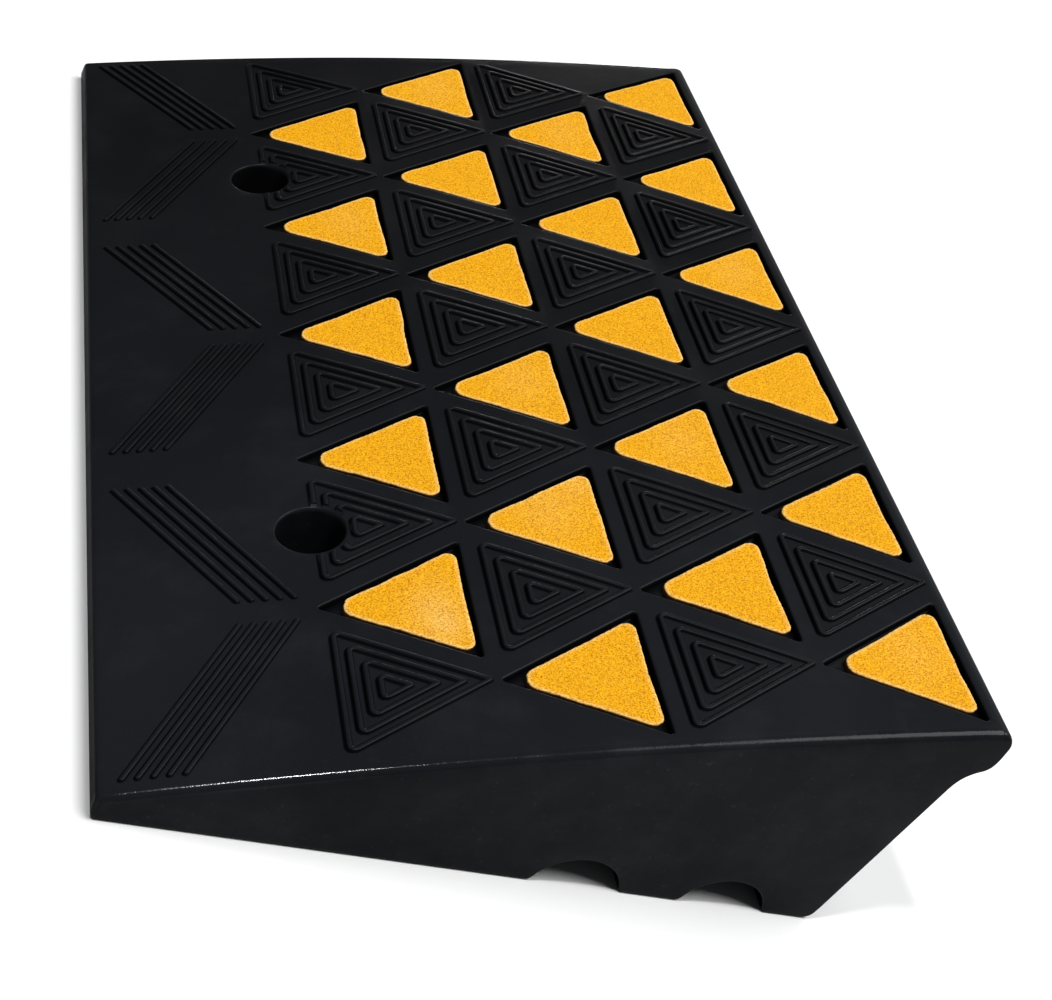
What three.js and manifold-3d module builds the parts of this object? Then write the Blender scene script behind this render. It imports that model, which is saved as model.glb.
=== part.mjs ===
// Moulded rubber kerb ramp with 22 bonded reflective inlays.
// Millimetres, +Z up. Origin: middle of the footprint on the ground.
// +X runs from the low entry edge up to the kerb side, Y runs along the kerb.
// Dimensions along X are measured from the entry edge, and each shape is moved by
// ENTRY_X when it is built.
import * as THREE from "three";
import { mergeVertices } from "three/addons/utils/BufferGeometryUtils.js";
import Module from "manifold-3d";

// ---------- ramp body ----------
const LENGTH = 500; // along the kerb
const RUN = 311; // entry edge to kerb lip
const ENTRY_X = -RUN / 2; // entry edge in the model's frame

// Convex running surface: height = NOSE_H + SLOPE * x - CROWN * x^2
const NOSE_H = 9.4; // height where the surface would meet x = 0
const SLOPE = 0.41; // rise per mm at the entry edge
const CROWN = 2.28e-4; // flattening towards the kerb
const TOP_START = 1.4;
const TOP_END = 302;
const TOP_STEPS = 12; // flats that make up the surface

const CHANNEL_R = 19; // arched channels in the underside, running along Y
const CHANNEL_DROP = 4.5; // arc centre below the ground
const CHANNEL_STEPS = 12;
const CHANNELS_X = [182, 245.5];

// Corners of the cross-section as [x, z].
const ENTRY_FOOT = [2.5, 0];
const KERB_END = [
  [282, 0], [285.5, 1.6], [287.6, 5],
  [300, 82], [301.6, 87], [304.4, 90.8], [308.4, 93.6],
  [310.4, 97], [RUN, 101], [RUN, 108], [309.6, 111.4], [306.6, 112.9],
];
const ENTRY_EDGE = [[0, 8.4], [0, 2.6], [0.7, 0.7]];

// ---------- triangle pattern ----------
const PITCHES_ALONG = 5.905; // pattern pitches in the length of the ramp
const PITCH_Y = LENGTH / PITCHES_ALONG;
const PITCH_X = 57.7;
const FIRST_BASE = 77; // base line of the first triangle column
const COLUMN_LETTERS = ["a", "b", "c", "d"];

// Rib and inlay triangles alternate along each column and swap places in the next.
const SIX_ROWS = centredRows(6);
const FIVE_ROWS = centredRows(5);

const RIB_SIDE = 62; // outer rib triangle, side length
const RIB_PITCH = 4.45; // step between concentric ribs
const RIB_W = 2.2;
const RIB_H = 1.3; // above the running surface
const RIB_RINGS = 4;
const RIB_TANGENT = 20; // ring's base line to where its plane touches the surface
const RIB_ROOT = 1; // depth that ribs of both kinds sink into the body

const POCKET_SIDE = 62.4; // inlay pocket, side length
const POCKET_WALL = 51.3; // column base line to the pocket's upslope wall
const POCKET_DEPTH = 3.2;
const POCKET_CLEAR = 8; // how far the cutter stands above the surface
const POCKET_TANGENT = 18; // upslope wall to where the floor's parallel plane touches
const INLAY_SIDE = 58.4; // side length before rounding
const INLAY_BACK = 0.85; // gap to the upslope wall of the pocket
const INLAY_TIP_R = 6; // corner pointing at the entry edge
const INLAY_BASE_R = 3.8; // two upslope corners
const INLAY_T = 2.2; // thickness
const BOND_GAP = 0.3; // adhesive line under each inlay
const CORNER_STEPS = 4;

// ---------- anchor bolt holes ----------
const HOLE_D = 25;
const HOLE_X = 76.3;
const HOLE_Y = 1.5 * PITCH_Y;
const HOLE_STEPS = 24;
const BORE_L = 80; // cutter length
const BORE_Z = 30; // cutter centre

// ---------- chevron ribs ----------
const ARROW_ROWS = [-1, 0, 1];
const ARROW_PITCH = 2 * PITCH_Y;
const ARM_RIBS = 5; // ribs in each arm of an arrow
const CHEVRON_W = 1.6;
const CHEVRON_H = 1;
const CHEVRON_FIRST = 7.2; // entry edge to the first rib
const CHEVRON_STEP = 4.9; // step between neighbouring ribs
const CHEVRON_RUN = 40.7; // span of one rib up the slope
const CHEVRON_REACH = 68; // span of one rib along the kerb
const CHEVRON_HALF = 39.6; // middle of an arrow to the middle of each of its arms

// ---------- helpers ----------
const wasm = await Module();
wasm.setup();

function centredRows(count) {
  return Array.from({ length: count }, (_, i) => (i - (count - 1) / 2) * PITCH_Y);
}

function surfaceHeight(x) {
  return NOSE_H + SLOPE * x - CROWN * x * x;
}

function surfaceSlope(x) {
  return SLOPE - 2 * CROWN * x;
}

function toSolid(geometry) {
  const bare = new THREE.BufferGeometry();
  bare.setAttribute("position", geometry.attributes.position);
  bare.setIndex(geometry.index);
  const merged = mergeVertices(bare, 1e-4);
  return new wasm.Manifold(
    new wasm.Mesh({
      numProp: 3,
      vertProperties: new Float32Array(merged.attributes.position.array),
      triVerts: new Uint32Array(merged.index.array),
    }),
  );
}

function toGeometry(manifold) {
  const { vertProperties, triVerts } = manifold.getMesh();
  const indexed = new THREE.BufferGeometry();
  indexed.setAttribute("position", new THREE.BufferAttribute(vertProperties, 3));
  indexed.setIndex(new THREE.BufferAttribute(triVerts, 1));
  const flat = indexed.toNonIndexed();
  flat.computeVertexNormals();
  return flat;
}

function extrude(points, depth, holes = []) {
  const vectors = (list) => list.map(([x, y]) => new THREE.Vector2(x, y));
  const shape = new THREE.Shape(vectors(points));
  shape.holes = holes.map((hole) => new THREE.Path(vectors(hole)));
  return new THREE.ExtrudeGeometry(shape, {
    depth,
    bevelEnabled: false,
    curveSegments: 1,
  });
}

// A plan outline raised between two levels. Levels are vertical distances from
// the plane that touches the running surface at x = tangentX.
function slab({ points, holes, low, high, tangentX }) {
  const geometry = extrude(points, high - low, holes);
  const position = geometry.attributes.position;
  const tangentZ = surfaceHeight(tangentX);
  const slope = surfaceSlope(tangentX);
  for (let i = 0; i < position.count; i++) {
    const x = position.getX(i);
    const lift = low + tangentZ + slope * (x - tangentX);
    position.setX(i, x + ENTRY_X);
    position.setZ(i, position.getZ(i) + lift);
  }
  return geometry;
}

// Equilateral triangle in plan, counter-clockwise, with the tip in the middle of the list.
// direction +1 points up the slope, -1 points to the entry edge.
function triangle(baseX, middleY, side, direction) {
  const corners = [
    [baseX, middleY - side / 2],
    [baseX + direction * side * Math.sqrt(0.75), middleY],
    [baseX, middleY + side / 2],
  ];
  return direction < 0 ? corners.reverse() : corners;
}

// Replaces each corner of an equilateral triangle with an arc.
function roundTriangle(corners, baseRadius, tipRadius) {
  return corners.flatMap((corner, i) => {
    const radius = i === 1 ? tipRadius : baseRadius;
    const previous = corners[(i + 2) % 3];
    const next = corners[(i + 1) % 3];
    const inwardX = (previous[0] + next[0]) / 2 - corner[0];
    const inwardY = (previous[1] + next[1]) / 2 - corner[1];
    // In a 60 degree corner the arc centre lies two radii in.
    const scale = (2 * radius) / Math.hypot(inwardX, inwardY);
    const centreX = corner[0] + inwardX * scale;
    const centreY = corner[1] + inwardY * scale;
    const start = Math.atan2(-inwardY, -inwardX) - Math.PI / 3;
    return Array.from({ length: CORNER_STEPS + 1 }, (_, k) => {
      const angle = start + ((2 * Math.PI) / 3) * (k / CORNER_STEPS);
      return [centreX + radius * Math.cos(angle), centreY + radius * Math.sin(angle)];
    });
  });
}

// ---------- body parts ----------
function channelArc(channelX) {
  const half = Math.sqrt(CHANNEL_R ** 2 - CHANNEL_DROP ** 2);
  const from = Math.atan2(CHANNEL_DROP, -half);
  const to = Math.atan2(CHANNEL_DROP, half);
  const points = [];
  for (let k = 0; k <= CHANNEL_STEPS; k++) {
    const angle = from + ((to - from) * k) / CHANNEL_STEPS;
    const atGround = k === 0 || k === CHANNEL_STEPS;
    points.push([
      channelX + CHANNEL_R * Math.cos(angle),
      atGround ? 0 : -CHANNEL_DROP + CHANNEL_R * Math.sin(angle),
    ]);
  }
  return points;
}

// Running surface from the kerb side down to the entry edge.
function topLine() {
  const points = [];
  for (let k = TOP_STEPS; k >= 0; k--) {
    const x = TOP_START + ((TOP_END - TOP_START) * k) / TOP_STEPS;
    points.push([x, surfaceHeight(x)]);
  }
  return points;
}

function wedge() {
  // Cross-section, counter-clockwise with X to the right and Z up.
  const section = [
    ENTRY_FOOT,
    ...CHANNELS_X.flatMap(channelArc),
    ...KERB_END,
    ...topLine(),
    ...ENTRY_EDGE,
  ];
  const block = extrude(section.map(([x, z]) => [x + ENTRY_X, z]), LENGTH);
  // Stands the section up, so that the extrusion runs along Y.
  block.rotateX(Math.PI / 2);
  block.translate(0, LENGTH / 2, 0);
  return toSolid(block);
}

// One ring of a set of concentric triangular tread ribs.
function ribRing(columnX, rowY, ring) {
  const offset = ring * RIB_PITCH;
  // Moving all three sides in by d shortens each by 2 * sqrt(3) * d.
  const insetTriangle = (inset) =>
    triangle(columnX + inset, rowY, RIB_SIDE - inset * 2 * Math.sqrt(3), 1);
  return toSolid(
    slab({
      points: insetTriangle(offset),
      holes: [insetTriangle(offset + RIB_W)],
      low: -RIB_ROOT,
      high: RIB_H,
      tangentX: columnX + offset + RIB_TANGENT,
    }),
  );
}

// One straight rib of an arrow. side +1 is the arm on the -Y side, -1 the one on +Y.
function chevronRib(arrowY, side, index) {
  const x = CHEVRON_FIRST + index * CHEVRON_STEP;
  const halfX = CHEVRON_W / 2 / Math.sin(Math.atan2(CHEVRON_REACH, CHEVRON_RUN));
  const armY = arrowY - side * CHEVRON_HALF;
  const outerY = armY - (side * CHEVRON_REACH) / 2;
  const innerY = armY + (side * CHEVRON_REACH) / 2;
  const points = [
    [x - halfX, outerY],
    [x + halfX, outerY],
    [x + CHEVRON_RUN + halfX, innerY],
    [x + CHEVRON_RUN - halfX, innerY],
  ];
  return toSolid(
    slab({
      points,
      low: -RIB_ROOT,
      high: CHEVRON_H,
      tangentX: x + CHEVRON_RUN / 2,
    }),
  );
}

function pocket(wallX, rowY) {
  return toSolid(
    slab({
      points: triangle(wallX, rowY, POCKET_SIDE, -1),
      low: -POCKET_DEPTH,
      high: POCKET_CLEAR,
      tangentX: wallX - POCKET_TANGENT,
    }),
  );
}

// Vertical anchor bolt hole.
function boltHole(y) {
  const bore = new THREE.CylinderGeometry(HOLE_D / 2, HOLE_D / 2, BORE_L, HOLE_STEPS);
  bore.rotateX(Math.PI / 2);
  bore.translate(HOLE_X + ENTRY_X, y, BORE_Z);
  return toSolid(bore);
}

function inlayGeometry(wallX, rowY) {
  const low = -POCKET_DEPTH + BOND_GAP;
  const corners = triangle(wallX - INLAY_BACK, rowY, INLAY_SIDE, -1);
  return slab({
    points: roundTriangle(corners, INLAY_BASE_R, INLAY_TIP_R),
    low,
    high: low + INLAY_T,
    tangentX: wallX - POCKET_TANGENT,
  });
}

// ---------- materials ----------
function rubber() {
  return new THREE.MeshStandardMaterial({ color: 0x1f2124, roughness: 0.55, metalness: 0 });
}

function reflective() {
  return new THREE.MeshStandardMaterial({ color: 0xf5a81c, roughness: 0.6, metalness: 0 });
}

// ---------- assembly ----------
function namedMesh(name, geometry, material) {
  const mesh = new THREE.Mesh(geometry, material);
  mesh.name = name;
  return mesh;
}

const ribs = [];
const cuts = [];
const inlays = [];
COLUMN_LETTERS.forEach((letter, column) => {
  const columnX = FIRST_BASE + column * PITCH_X;
  const wallX = columnX + POCKET_WALL;
  const [ribRows, inlayRows] =
    column % 2 === 0 ? [SIX_ROWS, FIVE_ROWS] : [FIVE_ROWS, SIX_ROWS];
  for (const rowY of ribRows) {
    for (let ring = 0; ring < RIB_RINGS; ring++) ribs.push(ribRing(columnX, rowY, ring));
  }
  inlayRows.forEach((rowY, row) => {
    const name = `reflective_inlay_${letter}${row + 1}`;
    cuts.push(pocket(wallX, rowY));
    inlays.push(namedMesh(name, inlayGeometry(wallX, rowY), reflective()));
  });
});

// Three arrows on the entry strip, pointing up the slope.
for (const row of ARROW_ROWS) {
  for (const side of [1, -1]) {
    for (let k = 0; k < ARM_RIBS; k++) ribs.push(chevronRib(row * ARROW_PITCH, side, k));
  }
}
cuts.push(boltHole(-HOLE_Y), boltHole(HOLE_Y));

const body = wasm.Manifold.union([wedge(), ...ribs]).subtract(wasm.Manifold.union(cuts));

const group = new THREE.Group();
group.name = "kerb_ramp";
group.add(namedMesh("ramp_body", toGeometry(body), rubber()), ...inlays);
export default group;
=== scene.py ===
"""Moulded black rubber kerb ramp with triangular tread ribs and yellow reflective inlays.

The ramp rises along +x from its entry edge, runs along y with its middle at y = 0, and
stands on z = 0. The shapes are worked out in mm, with x counted from the entry edge, and
moved to the frame (metres) at the end. Shader lengths and the studio are in metres.
"""
import itertools
import math

import bpy
import numpy as np
from mathutils import Matrix, Vector
from mathutils.geometry import delaunay_2d_cdt


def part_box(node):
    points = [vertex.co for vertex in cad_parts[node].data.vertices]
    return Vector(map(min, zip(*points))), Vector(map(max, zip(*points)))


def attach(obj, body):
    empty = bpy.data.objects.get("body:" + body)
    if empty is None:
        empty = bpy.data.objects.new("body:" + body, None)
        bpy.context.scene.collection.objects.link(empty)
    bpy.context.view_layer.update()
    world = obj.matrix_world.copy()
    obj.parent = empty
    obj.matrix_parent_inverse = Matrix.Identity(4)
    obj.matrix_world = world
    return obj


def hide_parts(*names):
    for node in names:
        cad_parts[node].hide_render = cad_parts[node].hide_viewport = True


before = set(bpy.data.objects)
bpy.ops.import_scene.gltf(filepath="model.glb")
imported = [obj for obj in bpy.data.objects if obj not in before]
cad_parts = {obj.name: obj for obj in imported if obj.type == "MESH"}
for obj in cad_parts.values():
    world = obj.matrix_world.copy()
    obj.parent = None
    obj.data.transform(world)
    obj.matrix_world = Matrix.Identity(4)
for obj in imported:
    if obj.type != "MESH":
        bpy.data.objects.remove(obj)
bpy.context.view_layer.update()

# ---------------------------------------------------------------- driving dimensions (mm)
MM = 1000                   # mm in a metre
ROOT3 = math.sqrt(3)
ramp_low, ramp_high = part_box("ramp_body")
HALF_LENGTH = (ramp_high.y - ramp_low.y) * MM / 2
ENTRY_X = ramp_low.x * MM   # entry edge in the frame

# running surface: height at the entry edge, rise per mm, and how fast the rise falls off
NOSE_HEIGHT, SLOPE, CROWN = 9.4, 0.41, 2.28e-4
SURFACE_START, SURFACE_END = 1.6, 304.6
SURFACE_STEPS = 50
LENGTH_STEPS = 40
TOP_ROUNDING, SIDE_ROUNDING = 3.4, 1.1   # edge rounding at the two y ends
ROUNDING_BLEND = 9.0                     # reach over which one rounding turns into the other

RIB_SIDE = 62               # outermost rib triangle
RIB_PITCH = 4.45            # from one concentric rib to the next
RIB_COUNT = 4
POCKET_SIDE = 62.4
POCKET_FLOOR = -3.2
POCKET_STEP = 51.3          # from a column's rib base to its pocket base
INLAY_SIDE = 58.4
INLAY_BACK = 0.85           # gap between pocket base and inlay base


def inlay_place(node):
    """Up-slope side and middle y of one inlay."""
    low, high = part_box(node)
    return high.x * MM - ENTRY_X, (low.y + high.y) * MM / 2


first_x, first_y = inlay_place("reflective_inlay_a1")
ROW_PITCH = inlay_place("reflective_inlay_a2")[1] - first_y
COLUMN_PITCH = inlay_place("reflective_inlay_b1")[0] - first_x
FIRST_BASE = first_x + INLAY_BACK - POCKET_STEP
COLUMNS = [FIRST_BASE + column * COLUMN_PITCH for column in range(4)]
SIX_ROWS = [k * ROW_PITCH for k in (-2.5, -1.5, -0.5, 0.5, 1.5, 2.5)]
FIVE_ROWS = [k * ROW_PITCH for k in (-2, -1, 0, 1, 2)]


def rib_rows(column):
    return FIVE_ROWS if column % 2 else SIX_ROWS


def inlay_rows(column):
    return SIX_ROWS if column % 2 else FIVE_ROWS


def top(x):
    """Height of the running surface."""
    return NOSE_HEIGHT + SLOPE * x - CROWN * x * x


def slope_at(x):
    return SLOPE - 2 * CROWN * x


# Profiles. Columns: inset of the outline, height on the surface, painted corner shade 0 to 1.
RIB_PROFILE = [
    (-0.62, 0.0, 0.0), (-0.42, 0.0, 0.3), (-0.08, 0.1, 1.0), (0.16, 0.46, 0.95),
    (0.44, 1.04, 0.5), (0.74, 1.26, 0.0), (1.05, 1.3, 0.0), (1.5, 1.3, 0.0),
    (1.8, 1.22, 0.1), (2.05, 0.94, 0.45), (2.32, 0.38, 0.75), (2.56, 0.08, 0.6),
    (2.84, 0.0, 0.15), (3.0, 0.0, 0.0),
]
POCKET_PROFILE = [
    (-1.12, 0.0, 0.0), (-0.95, 0.0, 0.0), (-0.5, -0.06, 0.0), (-0.2, -0.24, 0.1),
    (-0.02, -0.6, 0.4), (0.1, -1.4, 0.8), (0.22, -2.9, 1.0), (0.5, POCKET_FLOOR, 1.0),
]
# The same for the chevron ribs, with the capsule radius in place of the inset.
CHEVRON_PROFILE = [
    (1.5, 0.0, 0.0), (1.32, 0.0, 0.4), (1.08, 0.1, 1.0),
    (0.88, 0.48, 0.9), (0.62, 0.86, 0.4), (0.34, 0.99, 0.0),
]


# ---------------------------------------------------------------- mesh and outline helpers
class Mesh:
    """Collects vertices in mm, welding those that coincide, and faces."""

    def __init__(self):
        self.vertices = []
        self.faces = []
        self.index = {}

    def vert(self, point):
        key = tuple(round(value, 4) for value in point)
        if key not in self.index:
            self.index[key] = len(self.vertices)
            self.vertices.append(tuple(float(value) for value in point))
        return self.index[key]

    def loop(self, points):
        return [self.vert(point) for point in points]

    def face(self, ids):
        """Add a face, leaving out repeated corners; a face without area is skipped."""
        corners = []
        for i in ids:
            if not corners or corners[-1] != i:
                corners.append(i)
        if len(corners) > 1 and corners[0] == corners[-1]:
            corners.pop()
        if len(set(corners)) >= 3:
            self.faces.append(tuple(corners))

    def strip(self, ring, following, closed=True):
        count = len(ring)
        for i in range(count if closed else count - 1):
            j = (i + 1) % count
            self.face([ring[i], ring[j], following[j], following[i]])

    def fan(self, ring, centre, closed=True):
        count = len(ring)
        for i in range(count if closed else count - 1):
            self.face([ring[i], ring[(i + 1) % count], centre])

    def build(self, name):
        mesh = bpy.data.meshes.new(name)
        points = [(x / MM, y / MM, z / MM) for x, y, z in self.vertices]
        mesh.from_pydata(points, [], self.faces)
        mesh.validate()
        mesh.update()
        return link_object(name, mesh)


def link_object(name, data):
    obj = bpy.data.objects.new(name, data)
    bpy.context.scene.collection.objects.link(obj)
    return obj


def shade_smooth(obj, sharp_degrees):
    for polygon in obj.data.polygons:
        polygon.use_smooth = True
    obj.data.set_sharp_from_angle(angle=math.radians(sharp_degrees))


def point_attribute(obj, name, values):
    attribute = obj.data.attributes.new(name, "FLOAT", "POINT")
    attribute.data.foreach_set("value", values.astype(np.float32))


def between(start, end, steps):
    """The points that split a straight line into equal steps, without its ends."""
    return [
        (start[0] + (end[0] - start[0]) * t, start[1] + (end[1] - start[1]) * t)
        for t in np.linspace(0, 1, steps + 1)[1:-1]
    ]


def spaced(start, end, spacing):
    """Points between two ends, about one spacing apart."""
    distance = math.hypot(end[0] - start[0], end[1] - start[1])
    return between(start, end, max(1, int(round(distance / spacing))))


def arc(centre, radius, angles):
    return [(centre[0] + radius * math.cos(t), centre[1] + radius * math.sin(t)) for t in angles]


def cut_corners(points, times):
    """Chaikin smoothing of an open line; its ends stay."""
    for _ in range(times):
        smooth = [points[0]]
        for a, b in zip(points[:-1], points[1:]):
            smooth.append((a[0] * 0.75 + b[0] * 0.25, a[1] * 0.75 + b[1] * 0.25))
            smooth.append((a[0] * 0.25 + b[0] * 0.75, a[1] * 0.25 + b[1] * 0.75))
        smooth.append(points[-1])
        points = smooth
    return points


def rounded_triangle(base_x, mid_y, full_side, direction, inset, base_radius, tip_radius,
                     arc_points=7, side_steps=9):
    """Anticlockwise equilateral triangle with rounded corners, moved inwards by inset.

    Its base lies along y; its tip points up the slope (direction 1) or down it (-1).
    """
    side = full_side - inset * 2 * ROOT3
    x = base_x + direction * inset
    corners = [
        ((x, mid_y - side / 2), base_radius),
        ((x + direction * side * ROOT3 / 2, mid_y), tip_radius),
        ((x, mid_y + side / 2), base_radius),
    ]
    if direction < 0:
        corners.reverse()
    middle_x = x + direction * side / (2 * ROOT3)
    arcs = []
    for (corner_x, corner_y), full_radius in corners:
        radius = max(full_radius - inset, 0.22)
        in_x, in_y = middle_x - corner_x, mid_y - corner_y
        length = math.hypot(in_x, in_y)
        in_x, in_y = in_x / length, in_y / length
        centre = (corner_x + in_x * 2 * radius, corner_y + in_y * 2 * radius)
        outwards = math.atan2(-in_y, -in_x)
        turns = np.linspace(-math.pi / 3, math.pi / 3, arc_points)
        arcs.append(arc(centre, radius, outwards + turns))
    outline = []
    for i in range(3):
        outline += arcs[i] + between(arcs[i][-1], arcs[(i + 1) % 3][0], side_steps)
    return outline


CAPSULE_ARC, CAPSULE_STEPS = 7, 9   # points round each end, steps along each side


def capsule(start, end, radius):
    """Anticlockwise outline of a round-ended bar; it begins with the arc round its end."""
    heading = math.atan2(end[1] - start[1], end[0] - start[0])
    quarter = math.pi / 2
    end_arc = arc(end, radius, heading + np.linspace(-quarter, quarter, CAPSULE_ARC))
    start_arc = arc(start, radius, heading + np.linspace(quarter, 3 * quarter, CAPSULE_ARC))
    return (end_arc + between(end_arc[-1], start_arc[0], CAPSULE_STEPS)
            + start_arc + between(start_arc[-1], end_arc[0], CAPSULE_STEPS))


def edge_distances(points, outline):
    """How far each point lies inside each edge line of an anticlockwise outline."""
    step = np.roll(outline, -1, 0) - outline
    length = np.linalg.norm(step, axis=1)
    real = length > 1e-9
    start, step, length = outline[real], step[real], length[real]
    from_x = points[:, 0][:, None] - start[:, 0][None]
    from_y = points[:, 1][:, None] - start[:, 1][None]
    return (step[:, 0][None] * from_y - step[:, 1][None] * from_x) / length[None]


def triangulate(loops, loose_points, output_type, tolerance):
    """Delaunay mesh that keeps the loops: points, faces, and each point's input numbers."""
    points = []
    edges = []
    for loop in loops:
        start = len(points)
        points += loop
        edges += [(start + i, start + (i + 1) % len(loop)) for i in range(len(loop))]
    points += loose_points
    result = delaunay_2d_cdt([Vector(p) for p in points], edges, [], output_type, tolerance)
    return [(p.x, p.y) for p in result[0]], result[2], result[3]


# ---------------------------------------------------------------- features of the surface
body = Mesh()
feature_outlines = []   # cut out of the plain running surface
# painted shade: how much the rubber colour is darkened at rib feet, chevron feet and pocket
# walls
painted_corner_shade = {}       # vertex -> how deep it sits in a corner, 0 to 1


def on_surface(outline, height):
    return [(x, y, top(x) + height) for x, y in outline]


def follow_profile(profile, outline_at, ring=None):
    """Skin rings along a profile; returns the last ring and its outline."""
    for offset, height, shade in profile:
        outline = outline_at(offset)
        ids = body.loop(on_surface(outline, height))
        # each vertex keeps the largest painted shade that its profiles give it
        for i in ids:
            painted_corner_shade[i] = max(painted_corner_shade.get(i, 0.0), shade)
        if ring is None:
            feature_outlines.append(outline)
        else:
            body.strip(ring, ids)
        ring = ids
    return ring, outline


def tread_ribs(base_x, mid_y):
    """Concentric triangular ribs round a small flat."""
    ring = None
    for rib in range(RIB_COUNT):
        offset = rib * RIB_PITCH
        side = RIB_SIDE - offset * 2 * ROOT3
        base_radius = 2.6 if rib == RIB_COUNT - 1 else 3.0
        ring, _ = follow_profile(
            RIB_PROFILE,
            lambda inset: rounded_triangle(base_x + offset, mid_y, side, 1, inset,
                                           base_radius, tip_radius=1.5),
            ring)
    centre_x = base_x + offset + side / (2 * ROOT3)
    body.fan(ring, body.vert((centre_x, mid_y, top(centre_x))))


def inlay_pocket(base_x, mid_y):
    """Triangular recess with a floor that follows the slope."""
    ring, outline = follow_profile(
        POCKET_PROFILE,
        lambda inset: rounded_triangle(base_x, mid_y, POCKET_SIDE, -1, inset,
                                       base_radius=1.1, tip_radius=0.9))
    centre_x = base_x - POCKET_SIDE / (2 * ROOT3)
    for scale in (0.75, 0.5, 0.25):
        smaller = [(centre_x + (x - centre_x) * scale, mid_y + (y - mid_y) * scale)
                   for x, y in outline]
        inner = body.loop(on_surface(smaller, POCKET_FLOOR))
        body.strip(ring, inner)
        ring = inner
    body.fan(ring, body.vert((centre_x, mid_y, top(centre_x) + POCKET_FLOOR)))


CHEVRON_GROUPS, CHEVRON_BARS = 6, 5
CHEVRON_FIRST_X, CHEVRON_PITCH = 7.2, 4.9
CHEVRON_RUN = 40.7          # reach of a bar along x
CHEVRON_HALF_WIDTH = 34.0   # and half its reach along y
CHEVRON_OFFSET = 39.6       # middle of a group from the point of its chevron pair
CHEVRON_END_TRIM = 0.6      # keeps the round ends inside that reach
CHEVRON_RIDGE = 1.02


def chevron_bar(start, end):
    ring, _ = follow_profile(CHEVRON_PROFILE, lambda radius: capsule(start, end, radius))
    # both long sides close onto one middle line
    line = [end] + between(end, start, CAPSULE_STEPS) + [start]
    ridge = body.loop(on_surface(line, CHEVRON_RIDGE))
    side_end = CAPSULE_ARC + CAPSULE_STEPS - 1
    arc_end = side_end + CAPSULE_ARC - 1
    body.fan(ring[:CAPSULE_ARC], ridge[0], closed=False)
    body.strip(ring[CAPSULE_ARC - 1:side_end + 1], ridge, closed=False)
    body.fan(ring[side_end:arc_end + 1], ridge[-1], closed=False)
    body.strip(ring[arc_end:] + [ring[0]], ridge[::-1], closed=False)


def chevrons():
    """Slanting bars on the entry strip, in groups that lean either way by turns."""
    for group in range(CHEVRON_GROUPS):
        turn = 1 if group % 2 == 0 else -1
        mid_y = (group // 2 - 1) * 2 * ROW_PITCH - turn * CHEVRON_OFFSET
        for bar in range(CHEVRON_BARS):
            x = CHEVRON_FIRST_X + CHEVRON_PITCH * bar
            start = np.array((x, mid_y - turn * CHEVRON_HALF_WIDTH))
            end = np.array((x + CHEVRON_RUN, mid_y + turn * CHEVRON_HALF_WIDTH))
            along = end - start
            trim = along / np.linalg.norm(along) * CHEVRON_END_TRIM
            chevron_bar(tuple(start + trim), tuple(end - trim))


for column, base in enumerate(COLUMNS):
    for row_y in rib_rows(column):
        tread_ribs(base, row_y)
for column, base in enumerate(COLUMNS):
    for row_y in inlay_rows(column):
        inlay_pocket(base + POCKET_STEP, row_y)
chevrons()

# ---------------------------------------------------------------- cross-section (x, z)
ENTRY_FOOT_RADIUS = 2.6
CHANNEL_MIDDLES = (182.0, 245.5)   # two round channels along the underside
CHANNEL_RADIUS = 19.0
CHANNEL_DROP = 4.5                 # channel centre below the ground plane
CHANNEL_MOUTH = 2.0                # height at which the arc begins
HEEL = [(279.0, 0.0), (284.2, 0.0), (286.6, 1.6), (287.7, 5.6), (288.7, 12.0)]
LIP = [
    (299.2, 77.0), (300.4, 84.4), (302.4, 88.8), (305.6, 92.0), (308.6, 93.8), (310.4, 96.6),
    (311.0, 100.5), (311.0, 104.0), (311.0, 107.4), (309.9, 110.8), (307.4, 113.0),
    (SURFACE_END, top(SURFACE_END)),
]
NOSE = [(SURFACE_START, top(SURFACE_START)), (0.5, top(0.5) - 0.15), (0.0, 8.4), (0.0, 7.0)]


def channel(middle):
    """Entry bend, arc and leaving bend of one underside channel."""
    angle = math.asin((CHANNEL_DROP + CHANNEL_MOUTH) / CHANNEL_RADIUS)
    reach = CHANNEL_RADIUS * math.cos(angle)
    mouth_z = -CHANNEL_DROP + CHANNEL_RADIUS * math.sin(angle)
    entering = [(middle - 21.2, 0.0), (middle - 19.6, 0.0), (middle - 18.6, 0.5),
                (middle - reach, mouth_z)]
    leaving = [(middle + reach, mouth_z), (middle + 18.45, 0.45), (middle + 19.0, 0.0),
               (middle + 20.2, 0.0)]
    roof = arc((middle, -CHANNEL_DROP), CHANNEL_RADIUS,
               np.linspace(math.pi - angle, angle, 22)[1:-1])
    return cut_corners(entering, 2) + roof + cut_corners(leaving, 2)


def cross_section():
    """Closed outline: underside, high side, running surface down the slope, entry edge."""
    under = arc((ENTRY_FOOT_RADIUS, ENTRY_FOOT_RADIUS), ENTRY_FOOT_RADIUS,
                np.linspace(math.pi, 1.5 * math.pi, 6))
    stretches = [(channel(middle), 14) for middle in CHANNEL_MIDDLES]
    stretches += [(cut_corners(HEEL, 3), 10), (cut_corners(LIP, 3), 8)]
    for stretch, spacing in stretches:
        under += spaced(under[-1], stretch[0], spacing) + stretch
    surface = [(x, top(x)) for x in np.linspace(SURFACE_END, SURFACE_START, SURFACE_STEPS + 1)]
    nose = cut_corners(NOSE, 3)
    nose = nose + spaced(nose[-1], under[0], 2.2)
    points = under[:-1] + surface[:-1] + nose
    return np.array([
        p for i, p in enumerate(points)
        if i == 0 or math.hypot(p[0] - points[i - 1][0], p[1] - points[i - 1][1]) > 0.02
    ])


def nearest_on_section(x):
    return int(np.argmin(np.hypot(section[:, 0] - x, section[:, 1] - top(x))))


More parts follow.
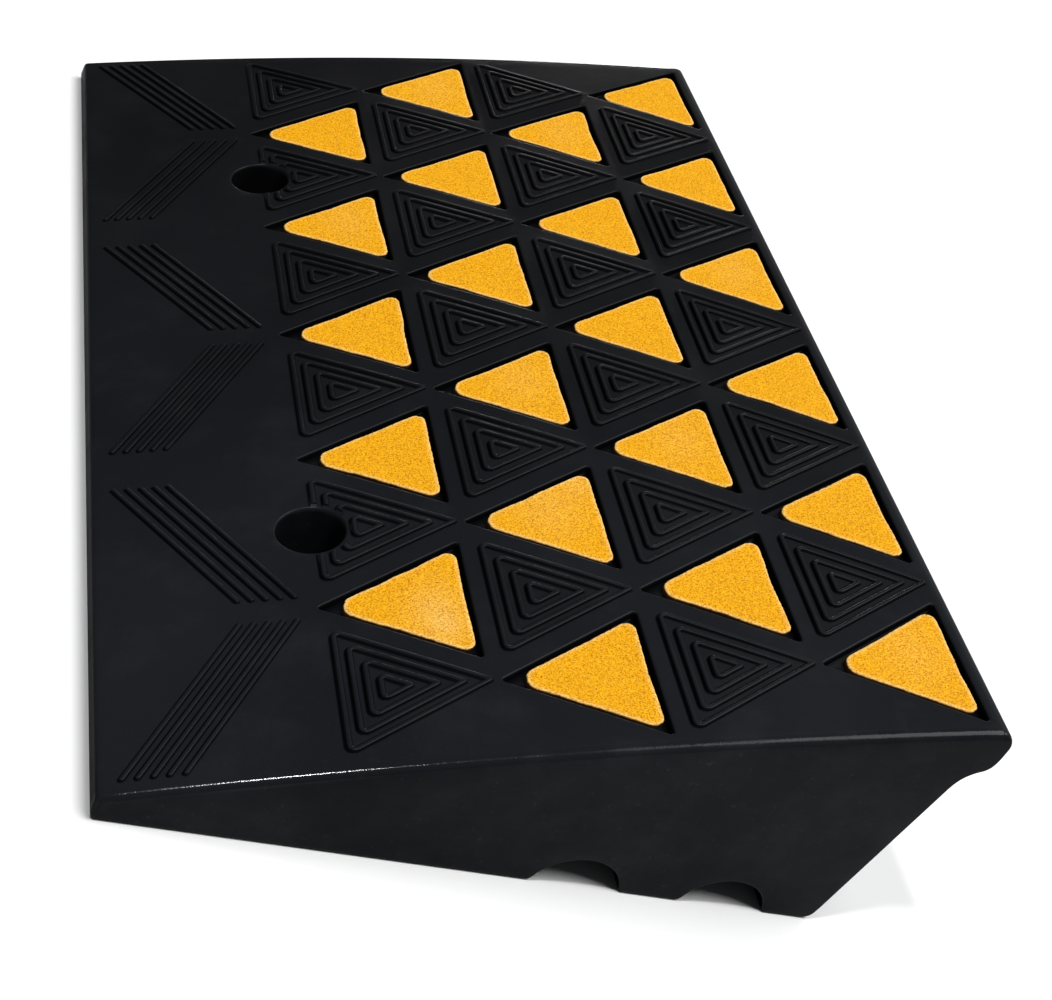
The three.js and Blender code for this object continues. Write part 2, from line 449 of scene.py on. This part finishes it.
section = cross_section()
COUNT = len(section)
LIP_INDEX = nearest_on_section(SURFACE_END)
ENTRY_INDEX = nearest_on_section(SURFACE_START)

section_steps = np.roll(section, -1, 0) - section
step_lengths = np.linalg.norm(section_steps, axis=1)
edge_normals = np.c_[section_steps[:, 1], -section_steps[:, 0]]
edge_normals /= np.linalg.norm(edge_normals, axis=1)[:, None]
normals = edge_normals + np.roll(edge_normals, 1, 0)
normals /= np.linalg.norm(normals, axis=1)[:, None]


def rounding_radii():
    """Edge rounding at each section point, blended past both ends of the running surface."""
    travelled = np.r_[0, np.cumsum(step_lengths)]
    radii = np.full(COUNT, TOP_ROUNDING)
    for i in range(COUNT):
        if LIP_INDEX <= i <= ENTRY_INDEX:
            continue
        distance = min(abs(travelled[i] - travelled[LIP_INDEX]),
                       abs(travelled[i] - travelled[ENTRY_INDEX]))
        w = max(0.0, 1 - distance / ROUNDING_BLEND)
        radii[i] = SIDE_ROUNDING + (TOP_ROUNDING - SIDE_ROUNDING) * w * w * (3 - 2 * w)
    return radii


rounding = rounding_radii()


# ---------------------------------------------------------------- skin along the length
def shrunk_section(shrink):
    """The section moved inwards; where a tight corner would fold, its points are joined."""
    moved = section - normals * shrink[:, None]
    group = list(range(COUNT))
    for _ in range(40):
        changed = False
        for i in range(COUNT):
            j = (i + 1) % COUNT
            if group[i] == group[j]:
                continue
            step = section[j] - section[i]
            if np.dot(moved[j] - moved[i], step) <= 0.05 * np.dot(step, step):
                members = [k for k in range(COUNT) if group[k] in (group[i], group[j])]
                inward = normals[members] * shrink[members][:, None]
                middle = (section[members] - inward).mean(0)
                joined = group[i]
                for k in members:
                    group[k] = joined
                    moved[k] = middle
                changed = True
        if not changed:
            break
    return moved


def rounded_ring(angle, end):
    """One ring of the edge rounding at the low (-1) or high (1) y end."""
    points = shrunk_section(rounding * (1 - math.cos(angle)))
    y = end * (HALF_LENGTH - rounding + rounding * math.sin(angle))
    return [(points[i, 0], y[i], points[i, 1]) for i in range(COUNT)]


def straight_ring(unit):
    return [(section[i, 0], unit * (HALF_LENGTH - rounding[i]), section[i, 1])
            for i in range(COUNT)]


length_units = np.linspace(-1, 1, LENGTH_STEPS + 1)


def skin():
    """Skin all but the running surface; returns the rings that border the end faces."""
    angles = np.linspace(math.pi / 2, 0, 7)
    rings = [rounded_ring(angle, -1) for angle in angles[:-1]]
    first = len(rings)
    rings += [straight_ring(unit) for unit in length_units]
    last = len(rings) - 1
    rings += [rounded_ring(angle, 1) for angle in angles[-2::-1]]
    all_ids = []
    for r, ring in enumerate(rings):
        # the plain surface brings its own vertices between the first and last straight ring
        ids = [None if first < r < last and LIP_INDEX < i < ENTRY_INDEX else body.vert(point)
               for i, point in enumerate(ring)]
        if all_ids:
            previous = all_ids[-1]
            for i in range(COUNT):
                if first < r <= last and LIP_INDEX <= i < ENTRY_INDEX:
                    continue
                j = (i + 1) % COUNT
                body.face([previous[i], ids[i], ids[j], previous[j]])
        all_ids.append(ids)
    return all_ids[0], all_ids[-1]


def within(polygon, x, z):
    """Even-odd test of one point."""
    following = np.roll(polygon, -1, 0)
    crosses = (polygon[:, 1] > z) != (following[:, 1] > z)
    rise = following[:, 1] - polygon[:, 1]
    rise = np.where(rise == 0, 1e-9, rise)
    at_x = polygon[:, 0] + (z - polygon[:, 1]) * (following[:, 0] - polygon[:, 0]) / rise
    return (crosses & (x < at_x)).sum() % 2 == 1


def end_face(ring, reverse):
    """Flat face at one y end, over a 7 mm grid of inner points."""
    ring = [i for k, i in enumerate(ring) if i != ring[k - 1]]
    border = [Vector((body.vertices[i][0], body.vertices[i][2])) for i in ring]
    polygon = np.array([(p.x, p.y) for p in border])
    inner = [
        (x, z) for x in np.arange(6, 305, 7.0) for z in np.arange(4, 112, 7.0)
        if within(polygon, x, z) and np.hypot(polygon[:, 0] - x, polygon[:, 1] - z).min() > 3.0
    ]
    points, faces, sources = triangulate([border], inner, 1, 1e-7)
    y = body.vertices[ring[0]][1]
    ids = []
    for (x, z), source in zip(points, sources):
        on_border = [s for s in source if s < len(ring)]
        ids.append(ring[on_border[0]] if on_border else body.vert((x, y, z)))
    for face in faces:
        corners = [ids[k] for k in face]
        body.face(corners[::-1] if reverse else corners)


low_ring, high_ring = skin()
end_face(low_ring, reverse=False)
end_face(high_ring, reverse=True)


# ---------------------------------------------------------------- plain running surface
def inside_features(points, grow=0.0):
    """Which points lie in a feature outline (all are convex and anticlockwise)."""
    hit = np.zeros(len(points), bool)
    for outline in map(np.array, feature_outlines):
        in_box = (points > outline.min(0) - 2) & (points < outline.max(0) + 2)
        near = np.where(in_box.all(1) & ~hit)[0]
        hit[near[(edge_distances(points[near], outline) > -grow).all(1)]] = True
    return hit


def plain_surface():
    """Fill the running surface between its border and the features."""
    spacing = 5.0
    edge_y = HALF_LENGTH - TOP_ROUNDING
    border = [(section[i, 0], -edge_y) for i in range(ENTRY_INDEX, LIP_INDEX, -1)]
    border += [(section[LIP_INDEX, 0], unit * edge_y) for unit in length_units[:-1]]
    border += [(section[i, 0], edge_y) for i in range(LIP_INDEX, ENTRY_INDEX)]
    border += [(section[ENTRY_INDEX, 0], unit * edge_y) for unit in length_units[:0:-1]]

    grid = np.array([
        (x + (spacing / 2 if row % 2 else 0), y)
        for row, y in enumerate(np.arange(-edge_y + 3, edge_y - 2, spacing))
        for x in np.arange(SURFACE_START + 3, SURFACE_END - 2, spacing)
    ])
    grid = grid[grid[:, 0] < SURFACE_END - 2]
    grid = [tuple(p) for p in grid[~inside_features(grid, 1.2)]]

    loops = [border] + feature_outlines
    points, faces, sources = triangulate(loops, grid, 0, 1e-6)
    points = np.array(points)
    in_feature = inside_features(np.array([points[list(face)].mean(0) for face in faces]))
    # points that came from the inputs keep their exact place, so they weld to the strips
    given = sum(loops, []) + grid
    exact = points.copy()
    for k, source in enumerate(sources):
        if source:
            exact[k] = given[source[0]]
    for face, skip in zip(faces, in_feature):
        if not skip:
            body.face(body.loop(on_surface([exact[i] for i in face], 0.0)))


plain_surface()
body.vertices = [(x + ENTRY_X, y, z) for x, y, z in body.vertices]
ramp = body.build("moulded_ramp")

# ---------------------------------------------------------------- bolt holes
BOLT_X = 76.3
BOLT_ROWS = (-1.5 * ROW_PITCH, 1.5 * ROW_PITCH)
# columns: height on the surface, radius
BORE_PROFILE = [
    (-50, 12.5), (-1.9, 12.5), (-1.1, 12.56), (-0.55, 12.78), (-0.15, 13.2),
    (0.12, 13.8), (0.5, 14.6), (12.5, 14.6),
]


def bore_cutter(mid_y):
    """Round cutter that flares at the surface; all its rings but the lowest follow the slope."""
    cutter = Mesh()
    rings = []
    for k, (height, radius) in enumerate(BORE_PROFILE):
        tilt = slope_at(BOLT_X) if k else 0.0
        circle = arc((BOLT_X, mid_y), radius, np.linspace(0, 2 * math.pi, 72, endpoint=False))
        rings.append(cutter.loop([
            (x + ENTRY_X, y, top(BOLT_X) + height + tilt * (x - BOLT_X)) for x, y in circle]))
    for ring, following in zip(rings[:-1], rings[1:]):
        cutter.strip(ring, following)
    cutter.face(rings[0][::-1])
    cutter.face(rings[-1])
    return cutter.build("bore_cutter")


def subtract(obj, cutter):
    """Cut a shape out of an object's mesh and remove the cutter."""
    cut = obj.modifiers.new("bore", "BOOLEAN")
    cut.operation = "DIFFERENCE"
    cut.object = cutter
    # a build without the Manifold solver refuses its name
    try:
        cut.solver = "MANIFOLD"
    except TypeError:
        cut.solver = "EXACT"
    depsgraph = bpy.context.evaluated_depsgraph_get()
    result = bpy.data.meshes.new_from_object(obj.evaluated_get(depsgraph))
    obj.modifiers.clear()
    uncut = obj.data
    obj.data = result
    bpy.data.meshes.remove(uncut)
    bpy.data.objects.remove(cutter)


for row_y in BOLT_ROWS:
    subtract(ramp, bore_cutter(row_y))
ramp.data.name = "moulded_ramp"
shade_smooth(ramp, sharp_degrees=50)


def corner_values():
    """Painted corner shade per vertex, found again by place because the cuts renumber vertices.
    """
    def place_key(point):
        return tuple(round(value, 2) for value in point)

    shades = {place_key(body.vertices[i]): shade for i, shade in painted_corner_shade.items()}
    values = np.zeros(len(ramp.data.vertices))
    for k, vertex in enumerate(ramp.data.vertices):
        key = place_key([value * MM for value in vertex.co])
        # the place itself, then the neighbours one rounding step away
        nearby = [place_key([a + b for a, b in zip(key, shift)])
                  for shift in itertools.product((-0.01, 0.0, 0.01), repeat=3)]
        values[k] = next((shades[place] for place in [key] + nearby if place in shades), 0.0)
    return values


# the corner attribute carries the painted shade into the rubber material
point_attribute(ramp, "corner", corner_values())

# ---------------------------------------------------------------- shader helpers
BLACK, WHITE = (0, 0, 0), (1, 1, 1)


class Nodes:
    """Adds nodes to one tree. Inputs may be values or the outputs of other nodes."""

    def __init__(self, tree):
        self.tree = tree

    def feed(self, socket, value):
        if isinstance(value, bpy.types.NodeSocket):
            self.tree.links.new(value, socket)
        elif socket.type == "RGBA":
            socket.default_value = (*value, 1)
        else:
            socket.default_value = value

    def add(self, kind, inputs=None, **settings):
        """New node; returns its outputs."""
        node = self.tree.nodes.new(kind)
        for name, value in settings.items():
            setattr(node, name, value)
        for socket, value in (inputs or {}).items():
            self.feed(node.inputs[socket], value)
        return node.outputs

    def noise(self, place, scale, detail, roughness=0.5):
        return self.add("ShaderNodeTexNoise", {
            "Scale": scale, "Detail": detail, "Roughness": roughness, "Vector": place})["Fac"]

    def ramp(self, value, stops):
        """Colour ramp with stops of (position, colour)."""
        node = self.tree.nodes.new("ShaderNodeValToRGB")
        elements = node.color_ramp.elements
        while len(elements) < len(stops):
            elements.new(0.5)
        for element, (position, colour) in zip(elements, stops):
            element.position = position
            element.color = (*colour, 1)
        self.feed(node.inputs["Fac"], value)
        return node.outputs["Color"]

    def math(self, operation, *values):
        return self.add("ShaderNodeMath", dict(enumerate(values)), operation=operation)[0]

    def times(self, value, by, plus=None):
        if plus is None:
            return self.math("MULTIPLY", value, by)
        return self.math("MULTIPLY_ADD", value, by, plus)

    def mix(self, factor, first, second, blend="MIX"):
        """Colour mix; sockets 6 and 7 are its two colours, output 2 its result."""
        return self.add("ShaderNodeMix", {"Factor": factor, 6: first, 7: second},
                        data_type="RGBA", blend_type=blend)[2]

    def tint(self, first, second):
        return self.mix(1.0, first, second, blend="MULTIPLY")

    def map_range(self, value, start, end, to_start=0.0, to_end=1.0, smooth=False):
        return self.add("ShaderNodeMapRange", {
            "Value": value, "From Min": start, "From Max": end,
            "To Min": to_start, "To Max": to_end,
        }, interpolation_type="SMOOTHSTEP" if smooth else "LINEAR")["Result"]

    def bump(self, height, distance, strength, normal=None, invert=False):
        inputs = {"Height": height, "Distance": distance, "Strength": strength}
        if normal:
            inputs["Normal"] = normal
        return self.add("ShaderNodeBump", inputs, invert=invert)["Normal"]

    def attribute(self, name):
        return self.add("ShaderNodeAttribute", attribute_name=name)["Fac"]


def new_material(name):
    """A material, its node builder, and a function that feeds its surface shader."""
    material = bpy.data.materials.new(name)
    material.use_nodes = True
    nodes = Nodes(material.node_tree)
    shader = material.node_tree.nodes["Principled BSDF"]

    def surface(inputs):
        for socket, value in inputs.items():
            nodes.feed(shader.inputs[socket], value)

    return material, nodes, surface


# ---------------------------------------------------------------- black rubber
def rubber_tone(nodes, broad, dust_mask, fine, pointiness):
    """Faint tone drift, dusty patches, light specks, and convex edges made paler, partly as
    rubbing wear and partly as a painted highlight.
    """
    drift = nodes.ramp(broad, [
        (0.3, (0.0085, 0.0096, 0.0119)),
        (0.55, (0.0108, 0.0121, 0.0149)),
        (0.75, (0.0131, 0.0145, 0.0172)),
    ])
    specks = nodes.ramp(fine, [(0.60, BLACK), (0.78, WHITE)])
    dusty = nodes.mix(nodes.times(dust_mask, by=0.45), drift, (0.0175, 0.0185, 0.0215))
    specked = nodes.mix(nodes.times(specks, by=0.30), dusty, (0.022, 0.0225, 0.025))
    # paler convex edges and rib crests: partly rubbing wear, partly a painted highlight
    worn = nodes.ramp(pointiness, [(0.515, BLACK), (0.60, WHITE)])
    return nodes.mix(nodes.times(worn, by=0.22), specked, (0.020, 0.021, 0.024))


def rubber_painted_shade(nodes, normal, pointiness):
    """Painted shade: darkening in rib corners, hollows and on the low face of the entry edge."""
    corner_painted_shade = nodes.times(nodes.attribute("corner"), by=-0.50, plus=1.0)
    corner_painted_shade = nodes.times(corner_painted_shade, by=corner_painted_shade)
    # the entry face, turned away from the lamps, is darkened as painted shade
    entry_face_painted_shade = nodes.map_range(normal["X"], start=-0.95, end=-0.70, to_start=0.30)
    # concave places are darkened as painted shade
    hollow_painted_shade = nodes.ramp(pointiness, [(0.40, (0.30, 0.30, 0.30)), (0.488, WHITE)])
    return nodes.times(nodes.times(corner_painted_shade, by=entry_face_painted_shade), by=hollow_painted_shade)


def rubber_far_tint(nodes, position):
    """Tint that grows darker and warmer towards high x and high y."""
    across = nodes.times(position["X"], by=0.9)
    far = nodes.times(position["Y"], by=1.6, plus=across)
    return nodes.ramp(nodes.times(far, by=1.1, plus=0.45), [
        (0.02, WHITE), (0.45, (0.66, 0.64, 0.62)), (0.90, (0.56, 0.51, 0.47))])


def rubber_end_marks(nodes, place):
    """Scuffs and flecks for the two end faces."""
    scuffs = nodes.ramp(nodes.noise(place, scale=30.0, detail=7, roughness=0.66), [
        (0.34, (0.74, 0.75, 0.78)), (0.50, (1.16, 1.16, 1.17)), (0.66, (1.80, 1.77, 1.70))])
    flecks = nodes.ramp(nodes.noise(place, scale=330.0, detail=3, roughness=0.6), [
        (0.64, WHITE), (0.76, (2.2, 2.2, 2.1))])
    return nodes.tint(scuffs, flecks)


def rubber_polish(nodes, position):
    """Mask of the rounded end edges, and the extra shine they carry."""
    rounded = nodes.map_range(nodes.math("ABSOLUTE", position["Y"]),
                              start=0.2450, end=0.2470, smooth=True)
    before_face = nodes.map_range(nodes.math("ABSOLUTE", position["Y"]),
                                  start=0.2494, end=0.24999, to_start=1.0, to_end=0.0)
    polish = nodes.times(rounded, by=before_face)
    # strongest at x = -0.0975, fading out over 47 mm either way
    from_peak = nodes.math("ABSOLUTE", nodes.math("ADD", position["X"], 0.0975))
    peak = nodes.map_range(from_peak, start=0.0, end=0.047,
                           to_start=1.0, to_end=0.0, smooth=True)
    return polish, nodes.times(polish, by=nodes.times(peak, by=0.29, plus=0.05))


def rubber_grain(nodes, place):
    """Fine and coarse grain of the mould skin over slow ripples."""
    fine = nodes.bump(nodes.noise(place, scale=1400.0, detail=2, roughness=0.6),
                      distance=0.00006, strength=0.55)
    coarse = nodes.bump(nodes.noise(place, scale=260.0, detail=4, roughness=0.6),
                        distance=0.00012, strength=0.5, normal=fine)
    return nodes.bump(nodes.noise(place, scale=26.0, detail=2),
                      distance=0.0009, strength=0.5, normal=coarse)


def rubber_material():
    material, nodes, surface = new_material("black_rubber")
    coords = nodes.add("ShaderNodeTexCoord")
    place = coords["Object"]
    position = nodes.add("ShaderNodeSeparateXYZ", {0: place})
    normal = nodes.add("ShaderNodeSeparateXYZ", {0: coords["Normal"]})
    pointiness = nodes.add("ShaderNodeNewGeometry")["Pointiness"]
    broad = nodes.noise(place, scale=9.0, detail=3)
    fine = nodes.noise(place, scale=900.0, detail=2)
    dust = nodes.noise(place, scale=38.0, detail=6, roughness=0.62)
    dust_mask = nodes.ramp(dust, [(0.50, BLACK), (0.74, WHITE)])

    # painted shade in corners, hollows and on the entry face darkens the colour and dims the
    # reflection
    painted_shade = rubber_painted_shade(nodes, normal, pointiness)
    colour = rubber_tone(nodes, broad, dust_mask, fine, pointiness)
    colour = nodes.tint(colour, painted_shade)
    colour = nodes.tint(colour, rubber_far_tint(nodes, position))
    on_end = nodes.map_range(nodes.math("ABSOLUTE", normal["Y"]), start=0.85, end=0.98)
    colour = nodes.mix(on_end, colour, rubber_end_marks(nodes, place), blend="MULTIPLY")

    # satin, drifting, duller where dusty, smoother on the rounded end edges
    polish, shine = rubber_polish(nodes, position)
    roughness = nodes.times(broad, by=0.12, plus=0.22)
    roughness = nodes.times(dust_mask, by=0.12, plus=roughness)
    roughness = nodes.times(fine, by=0.06, plus=roughness)
    surface({
        "Base Color": colour,
        "Specular IOR Level": nodes.times(painted_shade, by=nodes.math("ADD", shine, 0.075)),
        "Roughness": nodes.times(polish, by=-0.18, plus=roughness),
        "Normal": rubber_grain(nodes, place),
    })
    return material


# ---------------------------------------------------------------- reflective beads
def bead_colour(nodes, place, grain):
    """Mottled yellow, paler where worn, speckled dark, brown on the backing."""
    mottle = nodes.ramp(grain, [
        (0.30, (0.68, 0.275, 0.005)), (0.50, (0.92, 0.43, 0.007)), (0.72, (0.97, 0.52, 0.014))])
    patches = nodes.noise(place, scale=55.0, detail=4)
    yellow = nodes.mix(nodes.times(patches, by=0.35), mottle, (0.95, 0.475, 0.008))
    grain_wear = nodes.map_range(grain, start=0.25, end=0.65)
    wear = nodes.times(nodes.attribute("wear"), by=nodes.times(grain_wear, by=0.5, plus=0.5))
    worn = nodes.mix(wear, yellow, (1.0, 0.68, 0.24))
    speckle = nodes.ramp(nodes.noise(place, scale=1700.0, detail=2), [
        (0.33, (0.56, 0.42, 0.27)), (0.54, (0.98, 0.985, 0.97))])
    return nodes.mix(nodes.attribute("backing"), nodes.tint(worn, speckle),
                     (0.035, 0.016, 0.006))


def bead_material():
    material, nodes, surface = new_material("reflective_bead")
    place = nodes.add("ShaderNodeTexCoord")["Object"]
    grain = nodes.noise(place, scale=980.0, detail=3)
    cells = nodes.add("ShaderNodeTexVoronoi", {"Scale": 780.0, "Vector": place})["Distance"]
    beads = nodes.bump(cells, distance=0.00022, strength=0.6, invert=True)
    surface({
        "Base Color": bead_colour(nodes, place, grain),
        "Roughness": 0.72,
        "Specular IOR Level": 0.12,
        "Normal": nodes.bump(grain, distance=0.00025, strength=0.6, normal=beads),
    })
    return material


RUBBER = rubber_material()
BEAD = bead_material()
ramp.data.materials.clear()
ramp.data.materials.append(RUBBER)
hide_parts("ramp_body")
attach(ramp, "root")

# ---------------------------------------------------------------- reflective inlays
# One layout of points serves all: up-slope side at x = 0, middle at y = 0, tip down-slope.
INLAY_BOTTOM, INLAY_TOP = -2.9, -0.7   # heights on the slope
INLAY_SLOPE_POINT = 18                 # where the slope is taken, from the pocket base
INLAY_CENTRE = np.array([-INLAY_SIDE / (2 * ROOT3), 0.0])
CORNER_DIRECTIONS = (math.pi, math.pi / 3, -math.pi / 3)


def inlay_outline(inset):
    return rounded_triangle(0.0, 0.0, INLAY_SIDE, -1, inset, base_radius=3.8, tip_radius=6.0,
                            arc_points=13, side_steps=44)


outer_rim = inlay_outline(0.0)
bevel_rim = inlay_outline(0.35)
face_rim = inlay_outline(0.85)
RIM = len(outer_rim)


def inlay_face():
    """Jittered points of the top face, their faces, input numbers and depth from the rim."""
    rim = np.array(face_rim)
    spots = np.array([
        (x + (0.425 if row % 2 else 0), y)
        for row, y in enumerate(np.arange(-28, 28, 0.74)) for x in np.arange(-48, 0, 0.85)
    ])
    spots += np.random.default_rng(7).uniform(-0.14, 0.14, spots.shape)
    spots = spots[edge_distances(spots, rim).min(1) > 0.45]
    points, faces, sources = triangulate([face_rim], [tuple(p) for p in spots], 1, 1e-7)
    points = np.array(points)
    depth = np.maximum(edge_distances(points, rim).min(1), 0.0)
    return points, faces, [s[0] if s else -1 for s in sources], depth


face_points, face_faces, face_sources, face_depth = inlay_face()


def hand_cut(rng):
    """A function that moves points inwards, as on an unevenly cut triangle."""
    phases = rng.uniform(0, 2 * math.pi, 6)
    sizes = rng.uniform(0.05, 0.22, 6)
    lean = rng.uniform(0.0, 0.8, 2)
    blunting = rng.uniform(0.0, 0.6, 3)

    def warp(points):
        from_centre = np.asarray(points, float) - INLAY_CENTRE
        angle = np.arctan2(from_centre[:, 1], from_centre[:, 0])
        distance = np.linalg.norm(from_centre, axis=1)
        amount = sum(size * (1 + np.cos((k + 3) * angle + phase)) / 2
                     for k, (size, phase) in enumerate(zip(sizes, phases)))
        for blunt, direction in zip(blunting, CORNER_DIRECTIONS):
            off = np.abs((angle - direction + math.pi) % (2 * math.pi) - math.pi)
            amount = amount + blunt * np.exp(-(off / 0.16) ** 2)
        amount = (amount + lean[0] * (1 + np.cos(angle + phases[0])) / 2
                  + lean[1] * (1 + np.cos(2 * angle + phases[1])) / 2)
        pull = amount * np.clip(distance / 18.0, 0, 1) * 0.8
        return points - from_centre / np.maximum(distance, 1e-6)[:, None] * pull[:, None]

    return warp


def inlay_faces():
    """Side wall, bevel, top face and back of an inlay; its rims come before the face points."""
    bevel, face_start = 2 * RIM, 3 * RIM
    on_rim = {s: k for k, s in enumerate(face_sources) if 0 <= s < RIM}
    faces = []
    for i in range(RIM):
        j = (i + 1) % RIM
        faces.append((i, j, RIM + j, RIM + i))
        faces.append((RIM + i, RIM + j, bevel + j, bevel + i))
        faces.append((bevel + i, bevel + j, face_start + on_rim[j], face_start + on_rim[i]))
    faces += [tuple(face_start + k for k in face) for face in face_faces]
    faces.append(tuple(reversed(range(RIM))))
    return faces


def inlay_wear(local, wear_spots):
    """Wear at the given spots, on the bevel and along the rim of the face."""
    wear = np.zeros(len(local))
    for x, y, radius, amount in wear_spots:
        wear += amount * np.exp(-(((local[:, 0] - x) / radius) ** 2
                                  + ((local[:, 1] - y) / (radius * 1.5)) ** 2))
    wear[2 * RIM:3 * RIM] += 1.0
    wear[3 * RIM:] += 0.75 * np.clip(1 - face_depth, 0, 1)
    return np.clip(wear, 0, 1)


def inlay(name, node, base_x, mid_y, seed, wear_spots):
    rng = np.random.default_rng(seed)
    warp = hand_cut(rng)
    nicks = np.abs(rng.normal(0, 0.19, RIM))[:, None]
    outer = warp(outer_rim)
    outwards = (outer - INLAY_CENTRE) / np.linalg.norm(outer - INLAY_CENTRE, axis=1)[:, None]
    outer = outer - outwards * nicks
    bevel = warp(bevel_rim) - outwards * nicks * 0.5
    face = warp(face_points)
    bevel_heights = INLAY_TOP - 0.12 + rng.uniform(-0.05, 0.05, RIM)
    grain = rng.uniform(-1, 1, len(face))
    reach = np.clip(np.linalg.norm(face - INLAY_CENTRE, axis=1) / 30, 0, 1)
    face_heights = INLAY_TOP - 0.1 + grain * 0.085 + 0.06 * np.cos(reach * math.pi / 2)

    local = np.vstack([outer, outer, bevel, face])
    heights = np.concatenate([
        np.full(RIM, INLAY_BOTTOM), np.full(RIM, INLAY_TOP - 0.55), bevel_heights, face_heights])
    slope_x = base_x - INLAY_SLOPE_POINT
    x = local[:, 0] + base_x - INLAY_BACK
    z = top(slope_x) + slope_at(slope_x) * (x - slope_x) + heights
    mesh = Mesh()
    mesh.vertices = list(zip(x + ENTRY_X, local[:, 1] + mid_y, z))
    mesh.faces = inlay_faces()
    obj = mesh.build(name)
    shade_smooth(obj, sharp_degrees=60)
    point_attribute(obj, "wear", inlay_wear(local, wear_spots))
    backing = np.zeros(len(local))
    backing[:2 * RIM] = 1.0
    point_attribute(obj, "backing", backing)
    obj.data.materials.append(BEAD)
    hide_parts(node)
    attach(obj, "root")


# Worn spots by (column, row): x, y, radius, amount. Other inlays get one or none.
WEAR_SPOTS = {
    (0, 0): [(-12, -6, 9, 0.34), (-9, -14, 5, 0.24)],
    (1, 1): [(-20, 8, 12, 0.16), (-6, 20, 5, 0.2)],
}
COMMON_WEAR = [(-16, 5, 11, 0.12)]
seeds = itertools.count(101)
for column, base in enumerate(COLUMNS):
    for row, row_y in enumerate(inlay_rows(column)):
        label = f"{'abcd'[column]}{row + 1}"
        usual = COMMON_WEAR if (column + row) % 3 == 0 else []
        inlay(f"bead_inlay_{label}", f"reflective_inlay_{label}", base + POCKET_STEP, row_y,
              next(seeds), WEAR_SPOTS.get((column, row), usual))

# ---------------------------------------------------------------- floor, world, light, camera
FLOOR_HALF, FLOOR_Z = 14, -0.0005
FLOOR_SEEN = (0.90, 0.90, 0.90)      # as the camera sees it
FLOOR_BOUNCE = (0.42, 0.42, 0.43)    # as it lights the ramp


def studio_floor():
    material, nodes, surface = new_material("studio_floor")
    surface({"Base Color": FLOOR_SEEN, "Roughness": 0.9, "Specular IOR Level": 0.1})
    camera_ray = nodes.add("ShaderNodeLightPath")["Is Camera Ray"]
    surface({"Base Color": nodes.mix(camera_ray, FLOOR_BOUNCE, FLOOR_SEEN)})
    mesh = bpy.data.meshes.new("studio_floor")
    corners = [(-1, -1), (1, -1), (1, 1), (-1, 1)]
    mesh.from_pydata([(x * FLOOR_HALF, y * FLOOR_HALF, FLOOR_Z) for x, y in corners],
                     [], [(0, 1, 2, 3)])
    floor = link_object("studio_floor", mesh)
    mesh.materials.append(material)


def studio_world():
    """Dim surroundings with a broad glow from high x and y."""
    world = bpy.data.worlds.new("studio")
    bpy.context.scene.world = world
    world.use_nodes = True
    nodes = Nodes(world.node_tree)
    background = world.node_tree.nodes["Background"]
    direction = nodes.add("ShaderNodeTexCoord")["Generated"]
    glow_direction = (0.84, 0.46, 0.28)
    facing = nodes.add("ShaderNodeVectorMath", {0: direction, 1: glow_direction},
                       operation="DOT_PRODUCT")["Value"]
    strength = nodes.map_range(facing, start=0.58, end=1.0,
                               to_start=0.045, to_end=0.48, smooth=True)
    nodes.feed(background.inputs["Strength"], strength)
    nodes.feed(background.inputs["Color"], (0.93, 0.96, 1.0))


def sun(name, towards, strength, degrees):
    """Sun lamp that stands in the direction towards; degrees is its apparent width."""
    light = bpy.data.lights.new(name, "SUN")
    light.energy = strength
    light.angle = math.radians(degrees)
    lamp = link_object(name, light)
    lamp.rotation_euler = (-Vector(towards)).to_track_quat("-Z", "Y").to_euler()
    lamp.location = Vector(towards) * 2.5


def studio_camera():
    data = bpy.data.cameras.new("camera")
    data.sensor_width = 36.0
    data.lens = 63.63308
    camera = link_object("camera", data)
    right = (0.891057636, -0.181022169, 0.416229820)
    up = (-0.205748194, 0.656308857, 0.725896939)
    backwards = (-0.404578756, -0.732454544, 0.547564034)
    place = (-0.2963393, -0.6558634, 0.4718121)
    turn = Matrix((right, up, backwards)).transposed()
    camera.matrix_world = Matrix.Translation(place) @ turn.to_4x4()
    bpy.context.scene.camera = camera


studio_floor()
studio_world()
sun("broad_soft", towards=(0.34, -0.05, 0.94), strength=2.85, degrees=44)
sun("ceiling", towards=(-0.31, -0.12, 0.94), strength=1.2, degrees=4.5)
sun("window", towards=(0.26, 0.95, 0.12), strength=0.30, degrees=8)
bpy.context.scene.view_settings.view_transform = "Standard"
studio_camera()
